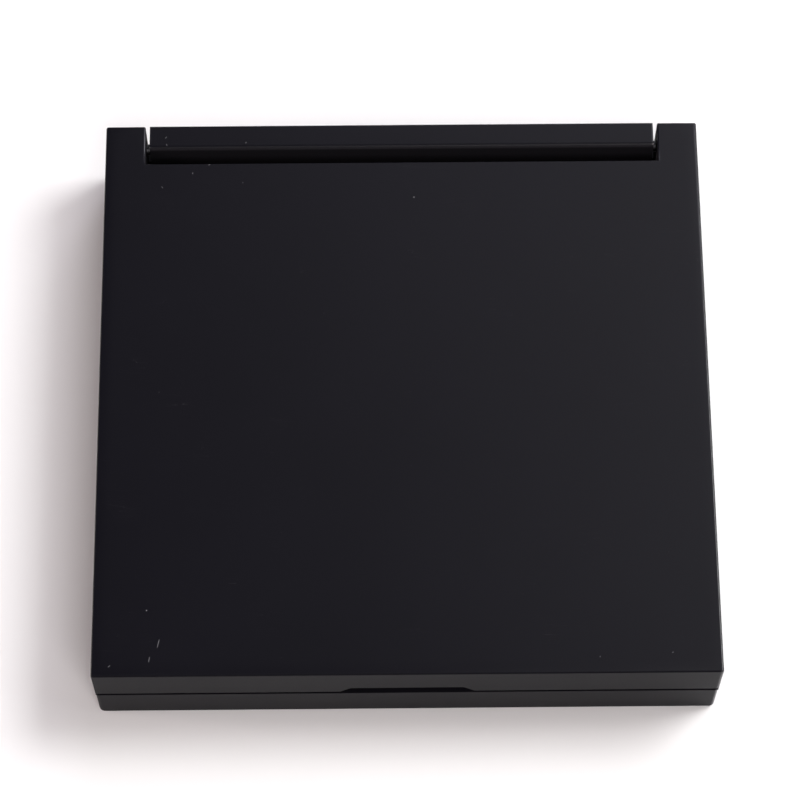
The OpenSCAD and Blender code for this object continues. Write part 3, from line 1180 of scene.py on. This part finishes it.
# ---------------------------------------------------------------- stage

NEUTRAL = (1.0, 1.0, 1.0)
WARM = (1.0, 0.85, 0.84)
WARMISH = (1.0, 0.95, 0.95)
COOL = (0.93, 0.91, 1.0)
SOFTBOX = 0.36       # side of each square softbox, in metres
REACH = 0.9          # how far the softboxes stand from the compact, in metres

SOFTBOXES = (
    # name, degrees from straight up to the right, and to the back, power, colour
    ("key", 36, 17, 6.7, NEUTRAL),
    ("rim", 36, 60, 1.6, COOL),
    ("right_fill", 60, -12, 1.3, NEUTRAL),
    ("back_fill", 12, 36, 1.3, COOL),
    ("front_fill", 12, -36, 3.2, WARMISH),
    ("left_fill", -60, -12, 3.9, WARM),
)


def make_stage(stage):
    """The pale table, the studio's light and the camera."""
    clear_selection()
    bpy.ops.mesh.primitive_plane_add(size=3, location=(0, 0, -0.02 * MM))
    table = keep_primitive("table")
    finish = Finish(bpy.data.materials.new("table_white"))
    table.data.materials.append(table_white(finish, stage.table))
    for name, right, back, power, tint in SOFTBOXES:
        add_softbox(name, right, back, power, tint)
    add_surround(stage.horizon, stage.ceiling)
    add_camera(stage.focal_length)


def add_softbox(name, right, back, power, tint):
    """A square lamp that looks at the compact."""
    clear_selection()
    way = Vector((math.tan(math.radians(right)), math.tan(math.radians(back)), 1)).normalized()
    place = way * REACH
    bpy.ops.object.light_add(type="AREA", location=place,
                             rotation=(-place).to_track_quat("-Z", "Y").to_euler())
    lamp = bpy.context.object
    lamp.name = name
    lamp.data.shape = "SQUARE"
    lamp.data.size = SOFTBOX
    lamp.data.energy = power
    lamp.data.color = tint


def add_surround(horizon, ceiling):
    """The room round the table: pale walls under a dim ceiling."""
    room = Finish(bpy.data.worlds.new("studio"))
    height = room.split(room.add("ShaderNodeTexCoord", output="Generated"))[2]
    glow = room.step(height, 0.1, 0.26, horizon, ceiling)
    air = room.add("ShaderNodeBackground", None, {"Strength": glow})
    room.add("ShaderNodeOutputWorld", None, {"Surface": air})
    bpy.context.scene.world = room.owner


def add_camera(focal_length):
    """The camera, above and in front of the compact."""
    clear_selection()
    bpy.ops.object.camera_add(location=(-2.418 * MM, -132.364 * MM, 323.234 * MM))
    camera = bpy.context.object
    camera.name = "camera"
    camera.rotation_mode = "ZXY"
    camera.rotation_euler = [math.radians(turn) for turn in (22.8461, -0.3579, -0.6043)]
    camera.data.lens = focal_length
    camera.data.sensor_width = 36.0
    camera.data.clip_start = 0.01
    camera.data.clip_end = 10.0
    bpy.context.scene.camera = camera
    bpy.context.scene.view_settings.view_transform = "Standard"


# ---------------------------------------------------------------- add-on


class COMPACT_OT_stage(Operator):
    """Set up the table, the light and the camera"""

    bl_idname = "compact.stage"
    bl_label = "Stage"

    def execute(self, context):
        make_stage(context.scene.compact_stage)
        return {"FINISHED"}


class COMPACT_OT_lid(Operator):
    """Build the lid with its mirror and bezel"""

    bl_idname = "compact.lid"
    bl_label = "Lid and mirror"

    def execute(self, context):
        sizes = context.scene.compact_sizes
        make_lid_cover(sizes)
        make_mirror_bezel(sizes)
        make_mirror()
        return {"FINISHED"}


class COMPACT_OT_base(Operator):
    """Build the base, its insert and the hinge pins"""

    bl_idname = "compact.base"
    bl_label = "Base and hinge"

    def execute(self, context):
        sizes = context.scene.compact_sizes
        make_base_tray(sizes)
        make_insert_frame(sizes)
        make_pins()
        return {"FINISHED"}


class COMPACT_OT_powder(Operator):
    """Build the pan, the powder and the clear sheet over it"""

    bl_idname = "compact.powder"
    bl_label = "Pan and powder"

    def execute(self, context):
        make_pan()
        make_powder()
        make_film()
        finish_hidden_parts()
        return {"FINISHED"}


class COMPACT_OT_puff(Operator):
    """Build the puff and its ribbon"""

    bl_idname = "compact.puff"
    bl_label = "Puff and ribbon"

    def execute(self, context):
        make_ribbon(make_puff())
        return {"FINISHED"}


STEPS = (COMPACT_OT_stage, COMPACT_OT_lid, COMPACT_OT_base, COMPACT_OT_powder, COMPACT_OT_puff)


class COMPACT_PT_panel(Panel):
    """The compact's operators and settings"""

    bl_label = "Powder Compact"
    bl_idname = "COMPACT_PT_panel"
    bl_space_type = "VIEW_3D"
    bl_region_type = "UI"
    bl_category = "Compact"

    def draw(self, context):
        column = self.layout.column()
        for step in STEPS:
            column.operator(step.bl_idname)
        for settings in ("compact_sizes", "compact_colours", "compact_stage"):
            group = getattr(context.scene, settings)
            box = self.layout.box()
            for name in group.__annotations__:
                box.prop(group, name)


CLASSES = (CompactCaseSizes, CompactColours, CompactStage, *STEPS, COMPACT_PT_panel)


def register():
    for item in CLASSES:
        bpy.utils.register_class(item)
    bpy.types.Scene.compact_sizes = PointerProperty(type=CompactCaseSizes)
    bpy.types.Scene.compact_colours = PointerProperty(type=CompactColours)
    bpy.types.Scene.compact_stage = PointerProperty(type=CompactStage)


def unregister():
    del bpy.types.Scene.compact_stage
    del bpy.types.Scene.compact_colours
    del bpy.types.Scene.compact_sizes
    for item in reversed(CLASSES):
        bpy.utils.unregister_class(item)


def main():
    """Builds the compact, piece by piece."""
    register()
    bpy.ops.compact.stage()
    bpy.ops.compact.lid()
    bpy.ops.compact.base()
    bpy.ops.compact.powder()
    bpy.ops.compact.puff()


if __name__ == "__main__":
    main()
